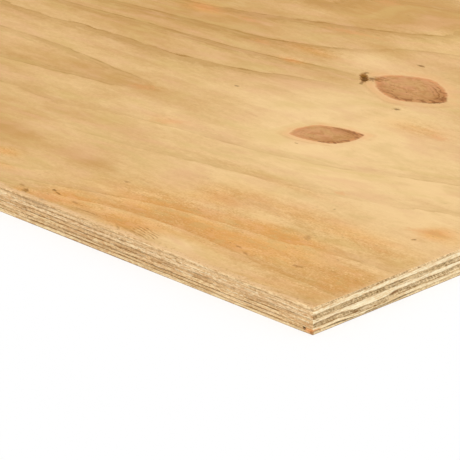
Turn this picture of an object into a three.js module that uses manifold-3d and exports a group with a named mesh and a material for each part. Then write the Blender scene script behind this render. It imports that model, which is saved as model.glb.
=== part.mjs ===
// Seven-ply softwood plywood sheet, the 8 x 4 ft stock size.
//
// Seven rotary-cut veneers are glued with their grain crossed and hot-pressed, then the panel is
// sawn to size and sanded. The odd plies (face, two centres, back) run along X, the even plies
// (three crossbands) run along Y, so on each sawn edge end grain alternates with side grain.
//
// Millimetres, +Z up. The origin is the middle of the underside, X is the length and the face grain,
// Y is the width. The "show corner" at +X, -Y is the best one of the sheet, and every place on the
// sheet is measured from the two edges that meet there.
import * as THREE from 'three';
import { mergeVertices } from 'three/addons/utils/BufferGeometryUtils.js';
import Module from 'manifold-3d';

// ---------------------------------------------------------------- driving dimensions

const LENGTH = 2440; // along the face grain, X
const WIDTH = 1220; // across it, Y

const CORNER_RADIUS = 0.9; // upright corner, sawn square and then rubbed by handling
const CORNER_SEGMENTS = 3;
const ARRIS = 0.35; // eased edge between a sanded face and the sawn edge

const END_GRAIN_RECESS = 0.25; // the saw tears cut fibres back this far behind the edge
const GLUE_RIM = 0.3; // beside each glue line the hardened wood stays flush, this high

// The lay-up from the underside to the face. Thickness is what the press and the sander leave.
const LAY_UP = [
	{ name: 'back_veneer', thickness: 2.9, grain: 'x', colour: 0xdcbf8d },
	{ name: 'crossband_3', thickness: 2.35, grain: 'y', colour: 0xeed5a8 },
	{ name: 'centre_2', thickness: 2.95, grain: 'x', colour: 0xd2ae7c },
	{ name: 'crossband_2', thickness: 2.65, grain: 'y', colour: 0xf2dcb2 },
	{ name: 'centre_1', thickness: 2.9, grain: 'x', colour: 0xcfac7a },
	{ name: 'crossband_1', thickness: 2.75, grain: 'y', colour: 0xf4dfb6 },
	{ name: 'face_veneer', thickness: 1.5, grain: 'x', colour: 0xe3c08b },
];
const ROUGHNESS = 0.62; // sanded, unfinished pine

// Peeled veneer is never quite even. Each swell is a long wave of thickness, as a share of the ply's
// own, that crosses the sheet at a heading of its own.
const SWELLS = [
	{ share: 0.05, waveLength: 1150, heading: 18 },
	{ share: 0.035, waveLength: 520, heading: 63 },
	{ share: 0.035, waveLength: 290, heading: -34 },
];
const SWELL_STEP = 2.4; // radians between the swells of one ply and the next

// Thick and thin spots in single veneers, which squeeze their neighbours aside in the press.
// Places are measured in from the show corner's end edge and side edge. A high power gives a spot a
// flat top and steep flanks.
const SPOTS = [
	// the lay-up sinks towards the show corner
	{ ply: 'back_veneer', share: -0.22, fromEnd: 0, fromSide: 0, alongLength: 75, alongWidth: 18, power: 2 },
	{ ply: 'crossband_3', share: 0.08, fromEnd: 0, fromSide: 0, alongLength: 75, alongWidth: 18, power: 2 },
	{ ply: 'centre_2', share: -0.07, fromEnd: 0, fromSide: 0, alongLength: 75, alongWidth: 18, power: 2 },
	{ ply: 'face_veneer', share: 0.45, fromEnd: 0, fromSide: 0, alongLength: 75, alongWidth: 18, power: 2 },
	// an overlap in the middle crossband, which presses the plies below it down to the sanded underside
	{ ply: 'crossband_2', share: 0.66, fromEnd: 0, fromSide: 49, alongLength: 40, alongWidth: 21, power: 6 },
	{ ply: 'centre_2', share: 0.05, fromEnd: 0, fromSide: 49, alongLength: 40, alongWidth: 21, power: 6 },
	{ ply: 'crossband_3', share: -0.3, fromEnd: 0, fromSide: 49, alongLength: 40, alongWidth: 21, power: 6 },
	{ ply: 'back_veneer', share: -0.6, fromEnd: 0, fromSide: 49, alongLength: 40, alongWidth: 21, power: 6 },
	// beyond the overlap the back was sanded thin
	{ ply: 'back_veneer', share: -0.16, fromEnd: 0, fromSide: 112, alongLength: 60, alongWidth: 45, power: 4 },
];

// Bark pocket: the pit beside the larger knot of the face, where bark fell out of the veneer.
const BARK_POCKET = { fromEnd: 266, fromSide: 328, length: 19, width: 6, depth: 1, heading: 135 };

// Core gap: a small open tunnel in the side edge where a piece of the lowest crossband falls short.
const CORE_GAP = { ply: 'crossband_3', fromEnd: 7.5, width: 2, height: 1, depth: 5 };

// How closely the sawn edge is followed: finely round the show corner, coarsely elsewhere.
const FINE_STEP = 7;
const COARSE_STEP = 61;
const FINE_REACH = 160;

// ---------------------------------------------------------------- the lay-up at any place

const THICKNESS = LAY_UP.reduce((sum, ply) => sum + ply.thickness, 0);

function bell(distance, reach, power) {
	return Math.exp(-(Math.abs(distance / reach) ** power));
}

// Thickness of one ply at a place, before the press brings the stack to the sheet's thickness.
function looseThickness(index, x, y) {
	const { name, thickness } = LAY_UP[index];
	let share = 1;
	SWELLS.forEach((swell, n) => {
		const heading = THREE.MathUtils.degToRad(swell.heading + 37 * index);
		const along = x * Math.cos(heading) + y * Math.sin(heading);
		share += swell.share * Math.sin((2 * Math.PI * along) / swell.waveLength + SWELL_STEP * index + n);
	});
	for (const spot of SPOTS) {
		if (spot.ply !== name) continue;
		const inFromEnd = LENGTH / 2 - x - spot.fromEnd;
		const inFromSide = y + WIDTH / 2 - spot.fromSide;
		const inward = bell(inFromEnd, spot.alongLength, 2);
		share += spot.share * inward * bell(inFromSide, spot.alongWidth, spot.power);
	}
	return thickness * share;
}

// Heights of the underside, the six glue lines and the face at a place. The press squeezes every ply
// by the same share, so the levels always run from 0 to the sheet's thickness.
function levelsAt(x, y) {
	const loose = LAY_UP.map((ply, index) => looseThickness(index, x, y));
	const squeeze = THICKNESS / loose.reduce((sum, t) => sum + t, 0);
	const levels = [0];
	loose.forEach((t) => levels.push(levels.at(-1) + t * squeeze));
	levels[LAY_UP.length] = THICKNESS;
	return levels;
}

// ---------------------------------------------------------------- the sawn outline

// Places along one edge from start to end, close together near the show corner.
function stations(start, end, showCorner) {
	const marks = [start];
	for (;;) {
		const last = marks.at(-1);
		const step = Math.abs(last - showCorner) < FINE_REACH ? FINE_STEP : COARSE_STEP;
		if (end - last < 1.5 * step) break;
		marks.push(last + step);
	}
	marks.push(end);
	return marks;
}

// The outline, anticlockwise from above. Each point has its outward normal and the number of the
// corner that is nearest to it: 0 at +X -Y (the show corner), then 1, 2 and 3 going round.
function sawnOutline() {
	const points = [];
	for (let side = 0; side < 4; side++) {
		const facing = (side - 1) * (Math.PI / 2);
		const normal = new THREE.Vector2(Math.round(Math.cos(facing)), Math.round(Math.sin(facing)));
		const forward = new THREE.Vector2(-normal.y, normal.x);
		const [halfRun, halfSpan] = side % 2 ? [WIDTH / 2, LENGTH / 2] : [LENGTH / 2, WIDTH / 2];
		const straight = halfRun - CORNER_RADIUS;
		const showCorner = side === 0 ? halfRun : side === 1 ? -halfRun : Infinity;
		for (const run of stations(-straight, straight, showCorner)) {
			const place = normal.clone().multiplyScalar(halfSpan).addScaledVector(forward, run);
			points.push({ place, normal, corner: run < 0 ? (side + 3) % 4 : side });
		}
		const centre = normal.clone().multiplyScalar(halfSpan - CORNER_RADIUS).addScaledVector(forward, straight);
		for (let n = 1; n < CORNER_SEGMENTS; n++) {
			const angle = facing + (n / CORNER_SEGMENTS) * (Math.PI / 2);
			const outward = new THREE.Vector2(Math.cos(angle), Math.sin(angle));
			const place = centre.clone().addScaledVector(outward, CORNER_RADIUS);
			points.push({ place, normal: outward, corner: side });
		}
	}
	return points;
}

const OUTLINE = sawnOutline();

// The four inner corners of the quiet field in the middle of the sheet, numbered as the outline's.
const FIELD = [[1, -1], [1, 1], [-1, 1], [-1, -1]].map(
	([sx, sy]) => new THREE.Vector2(sx * (LENGTH / 2 - WIDTH / 4), sy * (WIDTH / 4)),
);

// ---------------------------------------------------------------- one ply

// A ring of points round the sheet. inset(normal) says how far it lies behind the sawn edge.
function ring(heightAt, inset = () => 0) {
	return OUTLINE.map(({ place, normal }) => {
		const at = place.clone().addScaledVector(normal, -inset(normal));
		return new THREE.Vector3(at.x, at.y, heightAt(place));
	});
}

// Lofts a closed solid through rings from bottom to top. Each end is closed by fans from the inner
// corners of the field, so that two plies that meet at a glue line share the very same facets.
function loft(rings, bottomAt, topAt) {
	const count = OUTLINE.length;
	const fieldPoints = (heightAt) => FIELD.map((place) => new THREE.Vector3(place.x, place.y, heightAt(place)));
	const points = [...rings.flat(), ...fieldPoints(bottomAt), ...fieldPoints(topAt)];
	const faces = [];
	for (let level = 0; level + 1 < rings.length; level++) {
		for (let n = 0; n < count; n++) {
			const low = level * count + n;
			const lowNext = level * count + ((n + 1) % count);
			faces.push([low, lowNext, lowNext + count], [low, lowNext + count, low + count]);
		}
	}
	const close = (ringStart, fieldStart, facesUp) => {
		const add = (a, b, c) => faces.push(facesUp ? [a, b, c] : [a, c, b]);
		for (let n = 0; n < count; n++) {
			const next = (n + 1) % count;
			const here = OUTLINE[n].corner;
			const there = OUTLINE[next].corner;
			add(ringStart + n, ringStart + next, fieldStart + here);
			if (there !== here) add(ringStart + next, fieldStart + there, fieldStart + here);
		}
		add(fieldStart, fieldStart + 1, fieldStart + 2);
		add(fieldStart, fieldStart + 2, fieldStart + 3);
	};
	const fieldStart = rings.length * count;
	close(0, fieldStart, false);
	close((rings.length - 1) * count, fieldStart + FIELD.length, true);

	const geometry = new THREE.BufferGeometry().setFromPoints(points);
	geometry.setIndex(faces.flat());
	return geometry;
}

function plyGeometry(index) {
	const ply = LAY_UP[index];
	const isBack = index === 0;
	const isFace = index === LAY_UP.length - 1;
	const bottomAt = (place) => levelsAt(place.x, place.y)[index];
	const topAt = (place) => levelsAt(place.x, place.y)[index + 1];
	// The rim beside a glue line, at most a third of the ply where it is pressed thin.
	const rimAt = (place) => Math.min(GLUE_RIM, (topAt(place) - bottomAt(place)) / 3);
	// Only cut fibres are torn back, so the recess follows how squarely the edge crosses the grain.
	const tornBack = (normal) => END_GRAIN_RECESS * normal[ply.grain] ** 2;
	const eased = (normal) => tornBack(normal) + ARRIS;

	const rings = [];
	if (isBack) {
		rings.push(ring(() => 0, eased), ring(() => ARRIS, tornBack));
	} else {
		rings.push(ring(bottomAt), ring((place) => bottomAt(place) + rimAt(place), tornBack));
	}
	if (isFace) {
		rings.push(ring(() => THICKNESS - ARRIS, tornBack), ring(() => THICKNESS, eased));
	} else {
		rings.push(ring((place) => topAt(place) - rimAt(place), tornBack), ring(topAt));
	}
	return loft(rings, bottomAt, topAt);
}

// ---------------------------------------------------------------- pockets

const wasm = await Module();
wasm.setup();

function toSolid(geometry) {
	const bare = geometry.clone();
	bare.deleteAttribute('normal');
	bare.deleteAttribute('uv');
	const merged = mergeVertices(bare, 1e-5);
	return new wasm.Manifold(new wasm.Mesh({
		numProp: 3,
		vertProperties: new Float32Array(merged.attributes.position.array),
		triVerts: new Uint32Array(merged.index.array),
	}));
}

function toGeometry(solid) {
	const mesh = solid.getMesh();
	const geometry = new THREE.BufferGeometry();
	geometry.setAttribute('position', new THREE.BufferAttribute(mesh.vertProperties, 3));
	geometry.setIndex(new THREE.BufferAttribute(mesh.triVerts, 1));
	return geometry;
}

function cut(geometry, tool) {
	return toGeometry(toSolid(geometry).subtract(toSolid(tool)));
}

// A spindle-shaped scoop whose middle lies on the sheet's face.
function barkPocketTool() {
	const { fromEnd, fromSide, length, width, depth, heading } = BARK_POCKET;
	const scoop = new THREE.SphereGeometry(1, 16, 8);
	scoop.scale(length / 2, width / 2, depth);
	scoop.rotateZ(THREE.MathUtils.degToRad(heading));
	scoop.translate(LENGTH / 2 - fromEnd, fromSide - WIDTH / 2, THICKNESS);
	return scoop;
}

// A round-topped tunnel that runs in from the side edge along the glue line under its ply.
function coreGapTool() {
	const { ply, fromEnd, width, height, depth } = CORE_GAP;
	const index = LAY_UP.findIndex(({ name }) => name === ply);
	const mouth = new THREE.Vector2(LENGTH / 2 - fromEnd, -WIDTH / 2);
	const tunnel = new THREE.CylinderGeometry(1, 1, 2 * depth, 12);
	tunnel.scale(width / 2, 1, height);
	tunnel.translate(mouth.x, mouth.y, levelsAt(mouth.x, mouth.y)[index]);
	return tunnel;
}

// ---------------------------------------------------------------- the sheet

const sheet = new THREE.Group();
sheet.name = 'plywood_sheet';

LAY_UP.forEach((ply, index) => {
	let geometry = plyGeometry(index);
	if (ply.name === CORE_GAP.ply) geometry = cut(geometry, coreGapTool());
	if (ply.name === 'face_veneer') geometry = cut(geometry, barkPocketTool());
	geometry.computeVertexNormals();
	const material = new THREE.MeshStandardMaterial({
		color: ply.colour,
		roughness: ROUGHNESS,
		metalness: 0,
		flatShading: true,
	});
	const mesh = new THREE.Mesh(geometry, material);
	mesh.name = ply.name;
	sheet.add(mesh);
});

export default sheet;
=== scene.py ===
# %% [markdown]
# # A plywood sheet
#
# Plywood is a stack of thin veneers, peeled off a log as one peels paper off a roll, glued with
# their grain crossed and pressed flat. The frame gives seven of them at their real size. Here each
# veneer, or ply, is made again with the detail of real wood: sawn edges where end grain and side
# grain alternate, glue lines, a worn arris, knots, and the growth bands of a peeled pine face.

# %% Load the frame
import math
from types import SimpleNamespace

import bmesh
import bpy
import numpy as np
from mathutils import Matrix, Vector, noise


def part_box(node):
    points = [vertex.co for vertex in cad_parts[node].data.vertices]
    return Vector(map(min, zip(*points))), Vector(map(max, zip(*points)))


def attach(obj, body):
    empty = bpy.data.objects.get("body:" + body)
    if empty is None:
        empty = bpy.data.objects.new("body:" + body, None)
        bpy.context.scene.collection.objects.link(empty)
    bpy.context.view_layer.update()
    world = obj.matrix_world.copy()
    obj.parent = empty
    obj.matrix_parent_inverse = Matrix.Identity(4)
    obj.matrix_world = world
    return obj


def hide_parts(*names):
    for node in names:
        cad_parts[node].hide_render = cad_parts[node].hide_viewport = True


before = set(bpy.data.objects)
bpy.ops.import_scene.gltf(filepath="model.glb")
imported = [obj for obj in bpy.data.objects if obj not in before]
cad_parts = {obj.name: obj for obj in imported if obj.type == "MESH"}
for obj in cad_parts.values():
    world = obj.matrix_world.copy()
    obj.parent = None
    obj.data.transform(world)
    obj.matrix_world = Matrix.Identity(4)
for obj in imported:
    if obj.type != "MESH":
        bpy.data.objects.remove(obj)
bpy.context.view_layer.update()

MM = 0.001
LENGTH, WIDTH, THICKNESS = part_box("face_veneer")[1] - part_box("back_veneer")[0]
PLIES = [
    "back_veneer", "crossband_3", "centre_2", "crossband_2", "centre_1", "crossband_1",
    "face_veneer",
]
print(f"sheet {LENGTH:.3f} x {WIDTH:.3f} x {THICKNESS:.4f} m, {len(PLIES)} plies")

# %% [markdown]
# ## The show corner
#
# One corner of the sheet is the one that is seen close up. Every knot, mark and growth line near
# it is placed by two distances in millimetres: `from_end`, measured in from the short edge, and
# `from_side`, measured in from the long edge. They work like the rulers of a workshop bench, so
# the numbers can be read straight off the wood.

# %% Where the show corner is
SHOW_CORNER = Vector((LENGTH / 2, -WIDTH / 2, 0.0))


def on_sheet(from_end, from_side, height=THICKNESS):
    """The place that lies these distances, in millimetres, in from the show corner's edges."""
    return SHOW_CORNER + Vector((-from_end * MM, from_side * MM, height))


print("show corner at", tuple(SHOW_CORNER))

# %% [markdown]
# ## The camera
#
# A long lens from two metres away keeps the sheet's edges almost parallel. The camera doesn't lean
# to either side, and it looks down by about 22 degrees. Its aim is set by saying where in the
# picture the foot of the show corner falls: it slides sideways and up until the corner is there.

# %% Set the camera
PICTURE_SIDE = 460
CORNER_IN_PICTURE = (312.8, 335.7)
FOCAL_PIXELS = 3200
AZIMUTH = math.radians(45.35)
ELEVATION = math.radians(21.79)
CORNER_DISTANCE = 1.9116
SENSOR_WIDTH = 36.0
FARTHEST_SEEN = 200.0

back = Vector((
    math.sin(AZIMUTH) * math.cos(ELEVATION),
    -math.cos(AZIMUTH) * math.cos(ELEVATION),
    math.sin(ELEVATION),
))
right = Vector((math.cos(AZIMUTH), math.sin(AZIMUTH), 0.0))
up = back.cross(right)
metres_per_pixel = CORNER_DISTANCE / FOCAL_PIXELS
slide_right = (PICTURE_SIDE / 2 - CORNER_IN_PICTURE[0]) * metres_per_pixel
slide_up = (CORNER_IN_PICTURE[1] - PICTURE_SIDE / 2) * metres_per_pixel

camera = bpy.data.objects.new("camera", bpy.data.cameras.new("camera"))
bpy.context.scene.collection.objects.link(camera)
camera.data.sensor_width = SENSOR_WIDTH
camera.data.lens = camera.data.sensor_width * FOCAL_PIXELS / PICTURE_SIDE
camera.data.clip_end = FARTHEST_SEEN
turn = Matrix((right, up, back)).transposed().to_4x4()
stand = SHOW_CORNER + back * CORNER_DISTANCE + right * slide_right + up * slide_up
camera.matrix_world = Matrix.Translation(stand) @ turn
bpy.context.scene.camera = camera
print(f"lens {camera.data.lens:.0f} mm, camera at {tuple(round(c, 3) for c in stand)}")

# %% [markdown]
# ## Where the glue lines run
#
# Peeled veneer is uneven, so the glue lines wander up and down along the sawn edges. The frame's
# plies already have the right wander. Their corner points are read here, side by side, so that the
# finer plies made below follow the same lines and still fit on each other without a gap. Only the
# long-grain plies are read, because each glue line borders one of them.

# %% Read the glue lines from the frame
FLUSH = 0.02 * MM
SIDES = {"+x": (0, LENGTH / 2), "-x": (0, -LENGTH / 2), "+y": (1, WIDTH / 2), "-y": (1, -WIDTH / 2)}
LONG_GRAIN_PLIES = PLIES[::2]


def edge_heights(node):
    """For each side: places along it, and the ply's lowest and highest point at each of them."""
    points = np.array([v.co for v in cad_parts[node].data.vertices])
    found = {}
    for side, (axis, reach) in SIDES.items():
        flush = points[np.abs(points[:, axis] - reach) < FLUSH]
        runs = np.unique(flush[:, 1 - axis].round(5))
        heights = [flush[np.abs(flush[:, 1 - axis] - run) < FLUSH, 2] for run in runs]
        lowest, highest = [h.min() for h in heights], [h.max() for h in heights]
        found[side] = runs, np.array(lowest), np.array(highest)
    return found


EDGES = {ply: edge_heights(ply) for ply in LONG_GRAIN_PLIES}
print("points read along a long edge:", {ply: len(EDGES[ply]["-y"][0]) for ply in EDGES})

# %% Follow a glue line
CLOSE_UP = {"end": 300 * MM, "side": 150 * MM}
WAVER = {"height": 0.16 * MM, "length": 4.5 * MM}


def glue_line(index, x, y):
    """Height of the glue line under ply number index, at a place on the sawn edge."""
    if index == 0:
        return 0.0
    if index == len(PLIES):
        return THICKNESS
    across = abs(x) - LENGTH / 2 > abs(y) - WIDTH / 2
    side = ("+" if (x if across else y) > 0 else "-") + ("x" if across else "y")
    runs, low, high = EDGES[PLIES[index - index % 2]][side]
    line = float(np.interp(y if across else x, runs, high if index % 2 else low))
    if LENGTH / 2 - x < CLOSE_UP["end"] and y + WIDTH / 2 < CLOSE_UP["side"]:
        line += WAVER["height"] * noise.noise(Vector((x, y, index * MM)) / WAVER["length"])
    return line


corner_lines = [round(glue_line(n, LENGTH / 2, -WIDTH / 2) / MM, 2) for n in range(1, len(PLIES))]
print("glue lines at the show corner:", corner_lines, "mm")

# %% [markdown]
# ## The sawn edge
#
# The saw leaves two kinds of wood on an edge. Where it runs along the grain the fibres lie bare
# and smooth: side grain. Where it runs across them it tears their cut ends back a little: end
# grain. The wood beside a glue line is soaked with glue, so it stays flush as a thin rim. The
# upper and lower arrises are rubbed round, and the long one on the face is worn the most.
#
# All of this is one question for every point of an edge: how far behind the sawn plane does it
# lie? So it is answered by functions, and each ply asks them for its own points.

# %% Which way an edge faces
CORNER_RADIUS = 0.9 * MM


def rounding_centre(x, y):
    """The centre about which the upright corner beside a place is rounded."""
    core_x, core_y = LENGTH / 2 - CORNER_RADIUS, WIDTH / 2 - CORNER_RADIUS
    return max(-core_x, min(core_x, x)), max(-core_y, min(core_y, y))


def outward(x, y):
    """The way out of the sheet at a place on its edge. It turns evenly round the corners."""
    centre_x, centre_y = rounding_centre(x, y)
    return Vector((x - centre_x, y - centre_y)).normalized()


print("the long edge faces", tuple(outward(0, -WIDTH / 2)))

# %% [markdown]
# Dents and wear are uneven, and they have a size along the edge and a size up it. Soft noise that
# is stretched to those sizes gives both, and a power of it leaves few deep places among many
# shallow ones.

# %% How the face's arris is worn
# How much wider than new it gets, in mm: in broad patches, by small nibbles, and at one bruise.
WORN = {"patches": 1.6, "nibbles": 0.5, "share_on_short_edges": 0.2}
BRUISE = {"from_end": 246, "reach": 24, "depth": 2.6}


def roughness(x, y, z, size, seed=0.0):
    """Bumps from 0 to 1 whose size along X, Y and Z is given in millimetres."""
    point = Vector((x / size[0], y / size[1], z / size[2] + seed)) / MM
    return 0.5 + 0.5 * noise.noise(point)


def wear(x, y):
    """How much wider than new the face's arris is at a place: most on the long edges."""
    patches = roughness(x, y, 0.0, (45, 45, 1), 3.0) ** 3
    nibbles = roughness(x, y, 0.0, (2.4, 2.4, 1), 9.0) ** 2
    least = WORN["share_on_short_edges"]
    share = least + (1 - least) * outward(x, y).y ** 2
    worn = share * (WORN["patches"] * patches + WORN["nibbles"] * nibbles)
    if y < 0:
        from_bruise = (LENGTH / 2 - x) / MM - BRUISE["from_end"]
        worn += BRUISE["depth"] * nibbles * math.exp(-((from_bruise / BRUISE["reach"]) ** 2))
    return worn * MM


worn_at = [wear(LENGTH / 2 - from_end * MM, -WIDTH / 2) / MM for from_end in range(5, 300)]
print(f"beside the show corner the arris is worn by {min(worn_at):.2f} to {max(worn_at):.2f} mm")

# %% How far back the fibres are torn
TORN_BACK = 0.25
# Depths in mm: nicks and hollows of cut ends, grooves and scratches of bare fibres, and saw marks.
NICKS, HOLLOWS, GROOVES, SCRATCHES, SAW_MARKS = 0.16, 0.3, 0.09, 0.05, 0.05
CORE_GAP = {
    "ply": "crossband_3", "from_end": 7.5, "above_glue": 0.35,
    "width": 2.2, "height": 1.1, "depth": 5,
}


def core_gap(ply, x, y, z):
    """Depth of the tunnel in the long edge, where a piece of the lowest crossband falls short."""
    if ply != CORE_GAP["ply"] or y > 0:
        return 0.0
    middle = glue_line(PLIES.index(ply), x, y) + CORE_GAP["above_glue"] * MM
    along = abs((LENGTH / 2 - x) / MM - CORE_GAP["from_end"]) / CORE_GAP["width"]
    up = abs(z - middle) / MM / CORE_GAP["height"]
    return CORE_GAP["depth"] if along < 0.5 and up < 0.5 else 0.0


def tear(ply, x, y, z, below_rim):
    """How far a ply's fibres are torn back. below_rim is 0 on the glue line and 1 clear of it."""
    facing = outward(x, y)
    end_grain = facing.x**2 if ply in LONG_GRAIN_PLIES else facing.y**2
    nicks = NICKS * roughness(x, y, z, (1.7, 1.7, 0.9))
    hollows = HOLLOWS * roughness(x, y, z, (9, 9, 3), 5.0) ** 3
    grooves = GROOVES * roughness(x, y, z, (30, 30, 0.5), 7.0)
    scratches = SCRATCHES * roughness(x, y, z, (5, 5, 0.7), 2.0)
    depth = end_grain * (TORN_BACK + nicks + hollows) + (1 - end_grain) * (grooves + scratches)
    saw_marks = SAW_MARKS * roughness(x, y, z, (3.5, 3.5, 9), 1.0)
    return (below_rim * depth + saw_marks + core_gap(ply, x, y, z)) * MM


torn_at = [tear("centre_1", LENGTH / 2, n * MM, THICKNESS / 2, 1) / MM for n in range(300)]
print(f"end grain is torn back by {min(torn_at):.2f} to {max(torn_at):.2f} mm")

# %% [markdown]
# ## Rows of points up an edge
#
# A ply's edge is cut into rows from its lower glue line to its upper one. The rows beside a glue
# line are close to it, so that the flush rim stays thin. Each row is a share of the ply's height
# with the share of the tearing that it takes. The outer plies have no glue on their broad side, so
# there the rows draw together towards the rounded arris instead.

# %% Rows of a ply's edge
ARRIS, FOOT_ARRIS = 0.35 * MM, 0.12 * MM
INNER_ROWS = [(0, 0), (0.11, 1), (0.31, 1), (0.5, 1), (0.69, 1), (0.89, 1), (1, 0)]
FACE_ROWS = [(0, 0), (0.18, 1), (0.42, 1), (0.64, 1), (0.8, 1), (0.92, 1), (1, 1)]
BACK_ROWS = [(1 - share, torn) for share, torn in reversed(FACE_ROWS)]
LAST_ROW = len(INNER_ROWS) - 1
ROWS = {ply: INNER_ROWS for ply in PLIES} | {"face_veneer": FACE_ROWS, "back_veneer": BACK_ROWS}


def rounding(depth, radius):
    """How far a quarter-round arris lies behind the edge at this depth below the face."""
    return radius - math.sqrt(max(0.0, radius**2 - max(0.0, radius - depth) ** 2))


print(f"{LAST_ROW + 1} rows, and an unworn arris starts {rounding(0, ARRIS) / MM:.2f} mm back")

# %% [markdown]
# ## One ply as a mesh
#
# A ply starts as a flat plate. Its rim is extruded to give the edge, the open side is filled, and
# the upright edges are subdivided into the rows. Until then the ply is one unit high, so a point's
# height says which row it is in. Only then do the points go to their real places. The five inner
# plies show nothing but their edges, so their plates are single faces with a finely divided rim.
# The two outer plies start from a grid, and that of the face is finer beside the show corner.

# %% A plate with a fine rim
FINE_STEP = 0.7 * MM
COARSE_STEP = 6 * MM


def rim_plate():
    """A plate of one face, with short edges in its rim beside the show corner."""
    bm = bmesh.new()
    sheet_size = Matrix.Diagonal((LENGTH, WIDTH, 1, 1))
    bmesh.ops.create_grid(bm, x_segments=1, y_segments=1, size=0.5, matrix=sheet_size)
    inner = SHOW_CORNER + Vector((-CLOSE_UP["end"], CLOSE_UP["side"], 0))
    for direction in ((1, 0, 0), (0, 1, 0)):
        everything = [*bm.verts, *bm.edges, *bm.faces]
        bmesh.ops.bisect_plane(bm, geom=everything, plane_co=inner, plane_no=direction)
    bmesh.ops.dissolve_faces(bm, faces=bm.faces)
    for edge in list(bm.edges):
        close = any((vert.co - SHOW_CORNER).length < FINE_STEP for vert in edge.verts)
        cuts = round(edge.calc_length() / (FINE_STEP if close else COARSE_STEP)) - 1
        bmesh.ops.subdivide_edges(bm, edges=[edge], cuts=cuts)
    return bm


# %% A plate of many faces
def grid_places(span, zones):
    """Distances from the show corner's edge to the far edge, with one step up to each reach."""
    places = [0.0]
    for reach, step in zones:
        start, end = places[-1], min(reach * MM, span)
        count = round((end - start) / (step * MM))
        places += [start + (end - start) * n / count for n in range(1, count + 1)]
    return places


def grid_plate(zones):
    """A plate for a side of the sheet that is seen. Each zone has its reach and its step in mm."""
    from_end, from_side = grid_places(LENGTH, zones), grid_places(WIDTH, zones)
    columns, rows = len(from_end) - 1, len(from_side) - 1
    bm = bmesh.new()
    bmesh.ops.create_grid(bm, x_segments=columns, y_segments=rows, size=0.5)
    for vert in bm.verts:
        column, row = round((0.5 - vert.co.x) * columns), round((vert.co.y + 0.5) * rows)
        vert.co = SHOW_CORNER + Vector((-from_end[column], from_side[row], 0))
    return bm


print("a 12 mm grid has", len(grid_places(LENGTH, [(math.inf, 12)])), "points along the sheet")


# %% From a plate to a ply
def thicken(bm, plate_height):
    """Closes a plate into a ply one unit high. The plate itself lies at plate_height, 0 or 1."""
    rim = [edge for edge in bm.edges if edge.is_boundary]
    for vert in bm.verts:
        vert.co.z = plate_height
    pulled = bmesh.ops.extrude_edge_only(bm, edges=rim)["geom"]
    for vert in (item for item in pulled if isinstance(item, bmesh.types.BMVert)):
        vert.co.z = 1 - plate_height
    pulled_edges = [item for item in pulled if isinstance(item, bmesh.types.BMEdge)]
    open_rim = [edge for edge in pulled_edges if edge.is_boundary]
    bmesh.ops.edgeloop_fill(bm, edges=open_rim)
    upright = [edge for edge in bm.edges if abs(edge.verts[0].co.z - edge.verts[1].co.z) > 0.5]
    bmesh.ops.subdivide_edges(bm, edges=upright, cuts=LAST_ROW - 1)
    bmesh.ops.recalc_face_normals(bm, faces=bm.faces)


def saw_off(ply, x, y, z, low, high, torn):
    """Where a point of a ply's edge lies after the saw and the wear."""
    depth = tear(ply, x, y, z, torn)
    if ply == "face_veneer":
        depth += rounding(high - z, ARRIS + wear(x, y))
    if ply == "back_veneer":
        depth += rounding(z - low, FOOT_ARRIS)
    facing = outward(x, y)
    at_a_corner = abs(facing.x * facing.y) > 1e-6
    if at_a_corner:
        return Vector(rounding_centre(x, y)) + facing * (CORNER_RADIUS - depth)
    return Vector((x, y)) - facing * depth


def settle(bm, ply):
    """Moves a ply's points from the unit-high blank onto its glue lines and its sawn edge."""
    index = PLIES.index(ply)
    from_glue = bm.verts.layers.float.new("from_glue")
    for vert in bm.verts:
        x, y, level = vert.co
        share, torn = ROWS[ply][round(level * LAST_ROW)]
        low, high = glue_line(index, x, y), glue_line(index + 1, x, y)
        z = low + share * (high - low)
        vert.co.z = z
        glued = ([z - low] if index else []) + ([high - z] if ply != "face_veneer" else [])
        vert[from_glue] = min(glued) / MM
        at_edge = max(abs(x) - LENGTH / 2, abs(y) - WIDTH / 2) > -FLUSH
        if at_edge:
            vert.co.xy = saw_off(ply, x, y, z, low, high, torn)


# %% From a mesh to a piece
SHARP = math.radians(40)


def make_piece(bm, ply):
    """Turns a finished bmesh into a piece that replaces the frame's ply."""
    mesh = bpy.data.meshes.new(ply + "_wood")
    for face in bm.faces:
        face.smooth = True
    for edge in bm.edges:
        edge.smooth = edge.is_manifold and edge.calc_face_angle() < SHARP
    bm.to_mesh(mesh)
    bm.free()
    piece = bpy.data.objects.new(ply + "_wood", mesh)
    bpy.context.scene.collection.objects.link(piece)
    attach(piece, "root")
    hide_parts(ply)
    mesh.calc_loop_triangles()
    print(f"{piece.name}: {len(mesh.loop_triangles)} triangles")
    return piece


# %% The five inner plies
pieces = {}
for ply in PLIES[1:-1]:
    bm = rim_plate()
    thicken(bm, plate_height=1)
    settle(bm, ply)
    pieces[ply] = make_piece(bm, ply)
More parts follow.
